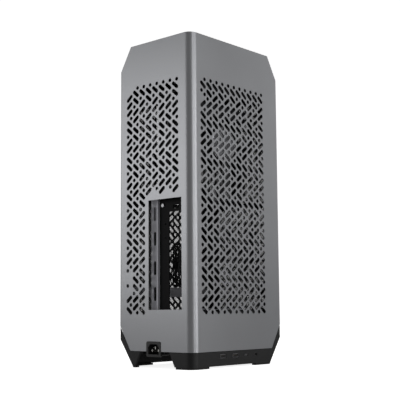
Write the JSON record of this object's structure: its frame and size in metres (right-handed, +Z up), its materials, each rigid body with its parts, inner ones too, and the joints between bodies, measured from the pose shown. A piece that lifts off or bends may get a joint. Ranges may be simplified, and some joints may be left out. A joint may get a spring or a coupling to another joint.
{
  "type": "mini desktop computer",
  "caption": "Tall tower mini computer with two bent perforated metal shells on a black plinth, rear cable window, mains inlet and side sockets.",
  "frame": {"origin": "middle of the footprint, on the floor", "axes": "+Z up, front towards -Y, rear face with the cable window towards +Y"},
  "size_m": [0.16, 0.2278, 0.5375],
  "materials": {
    "shell_metal": "satin anodised, fine grain",
    "plinth_plastic": "matte",
    "foot_rubber": "matte",
    "black_steel": "fine texture powder coat",
    "satin_steel": "satin",
    "grey_steel": "satin",
    "filter_mesh": "fine mesh",
    "black_moulding": "matte",
    "contact_metal": "polished",
    "cable_jacket": "satin",
    "psu_paint": "fine texture powder coat",
    "fan_plastic": "satin",
    "circuit_board": "solder mask",
    "brass": "turned",
    "socket_metal": "satin",
    "heatsink_metal": "anodised",
    "latch_plastic": "matte",
    "chip_lid": "satin nickel",
    "hose_rubber": "matte",
    "radiator_black": "matte",
    "button_metal": "turned",
    "screw_steel": "satin"
  },
  "bodies": {
    "core": {"base_plinth": "plinth_plastic", "foot_pads": "foot_rubber", "rear_bend_post": "black_steel", "rear_seam_post": "black_steel", "front_bend_post": "black_steel", "front_seam_post": "black_steel", "shelf_plate": "black_steel", "fan_tray": "black_steel", "chassis_plate": "black_steel", "slot_rail": "satin_steel", "cross_brace": "grey_steel", "front_filter": "filter_mesh", "inlet_housing": "black_moulding", "inlet_pins": "contact_metal", "inlet_lead": "cable_jacket", "psu_case": "psu_paint", "psu_grille": "satin_steel", "board_tray": "black_steel", "motherboard": "circuit_board", "board_standoffs": "brass", "io_block": "socket_metal", "vrm_heatsink": "heatsink_metal", "ram_slots": "black_moulding", "ram_module_a": "heatsink_metal", "ram_module_b": "heatsink_metal", "ssd_cooler": "heatsink_metal", "power_plug": "black_moulding", "card_slot": "black_moulding", "cpu_package": "chip_lid", "pump_block": "black_moulding", "coolant_tubes": "hose_rubber", "radiator": "radiator_black", "lower_fan_frame": "fan_plastic", "upper_fan_frame": "fan_plastic", "riser_ribbon": "cable_jacket", "riser_socket": "black_moulding", "gpu_board": "circuit_board", "gpu_fins": "heatsink_metal", "gpu_shroud": "fan_plastic", "gpu_bracket": "satin_steel", "power_cables": "cable_jacket", "cable_hank": "cable_jacket", "usb_sockets": "socket_metal", "usb_c_socket": "socket_metal", "audio_jack": "black_moulding", "port_board": "circuit_board", "power_switch": "black_moulding", "frame_screws": "screw_steel"},
    "rear_shell": {"rear_shell": "shell_metal"},
    "front_shell": {"front_shell": "shell_metal"},
    "top_cover": {"top_cover": "black_steel"},
    "lower_fan": {"lower_fan_rotor": "fan_plastic"},
    "upper_fan": {"upper_fan_rotor": "fan_plastic"},
    "psu_fan": {"psu_fan_rotor": "fan_plastic"},
    "card_fan_low": {"gpu_rotor_low": "fan_plastic"},
    "card_fan_high": {"gpu_rotor_high": "fan_plastic"},
    "psu_switch": {"psu_rocker": "black_moulding"},
    "latch_a": {"ram_latch_a": "latch_plastic"},
    "latch_b": {"ram_latch_b": "latch_plastic"},
    "button": {"power_button": "button_metal"}
  },
  "joints": [
    {"name": "rear_shell_lift", "type": "slide", "parent": "core", "child": "rear_shell", "axis": [0, 0, 1], "range_m": [0, 0.56]},
    {"name": "front_shell_lift", "type": "slide", "parent": "core", "child": "front_shell", "axis": [0, 0, 1], "range_m": [0, 0.56]},
    {"name": "top_cover_lift", "type": "slide", "parent": "core", "child": "top_cover", "axis": [0, 0, 1], "range_m": [0, 0.12]},
    {"name": "lower_fan_spin", "type": "hinge", "parent": "core", "child": "lower_fan", "pos_m": [0, 0, 0.466], "axis": [0, 0, 1], "continuous": true},
    {"name": "upper_fan_spin", "type": "hinge", "parent": "core", "child": "upper_fan", "pos_m": [0, 0, 0.52], "axis": [0, 0, 1], "continuous": true},
    {"name": "psu_fan_spin", "type": "hinge", "parent": "core", "child": "psu_fan", "pos_m": [0, -0.048, 0.0805], "axis": [0, 0, 1], "continuous": true},
    {"name": "card_fan_low_spin", "type": "hinge", "parent": "core", "child": "card_fan_low", "pos_m": [0.042, -0.004, 0.326], "axis": [1, 0, 0], "continuous": true},
    {"name": "card_fan_high_spin", "type": "hinge", "parent": "core", "child": "card_fan_high", "pos_m": [0.042, -0.004, 0.405], "axis": [1, 0, 0], "continuous": true},
    {"name": "psu_switch_rock", "type": "hinge", "parent": "core", "child": "psu_switch", "pos_m": [-0.0458, 0.0008, 0.0697], "axis": [1, 0, 0], "range_deg": [0, 14]},
    {"name": "latch_a_swing", "type": "hinge", "parent": "core", "child": "latch_a", "pos_m": [-0.013, 0.0606, 0.422], "axis": [0, 0, 1], "range_deg": [-35, 0]},
    {"name": "latch_b_swing", "type": "hinge", "parent": "core", "child": "latch_b", "pos_m": [-0.013, 0.0606, 0.434], "axis": [0, 0, 1], "range_deg": [-35, 0]},
    {"name": "button_press", "type": "slide", "parent": "core", "child": "button", "axis": [0, 1, 0], "range_m": [0, 0.0015], "stiffness_N_per_m": 600, "springref_m": -0.0005}
  ]
}
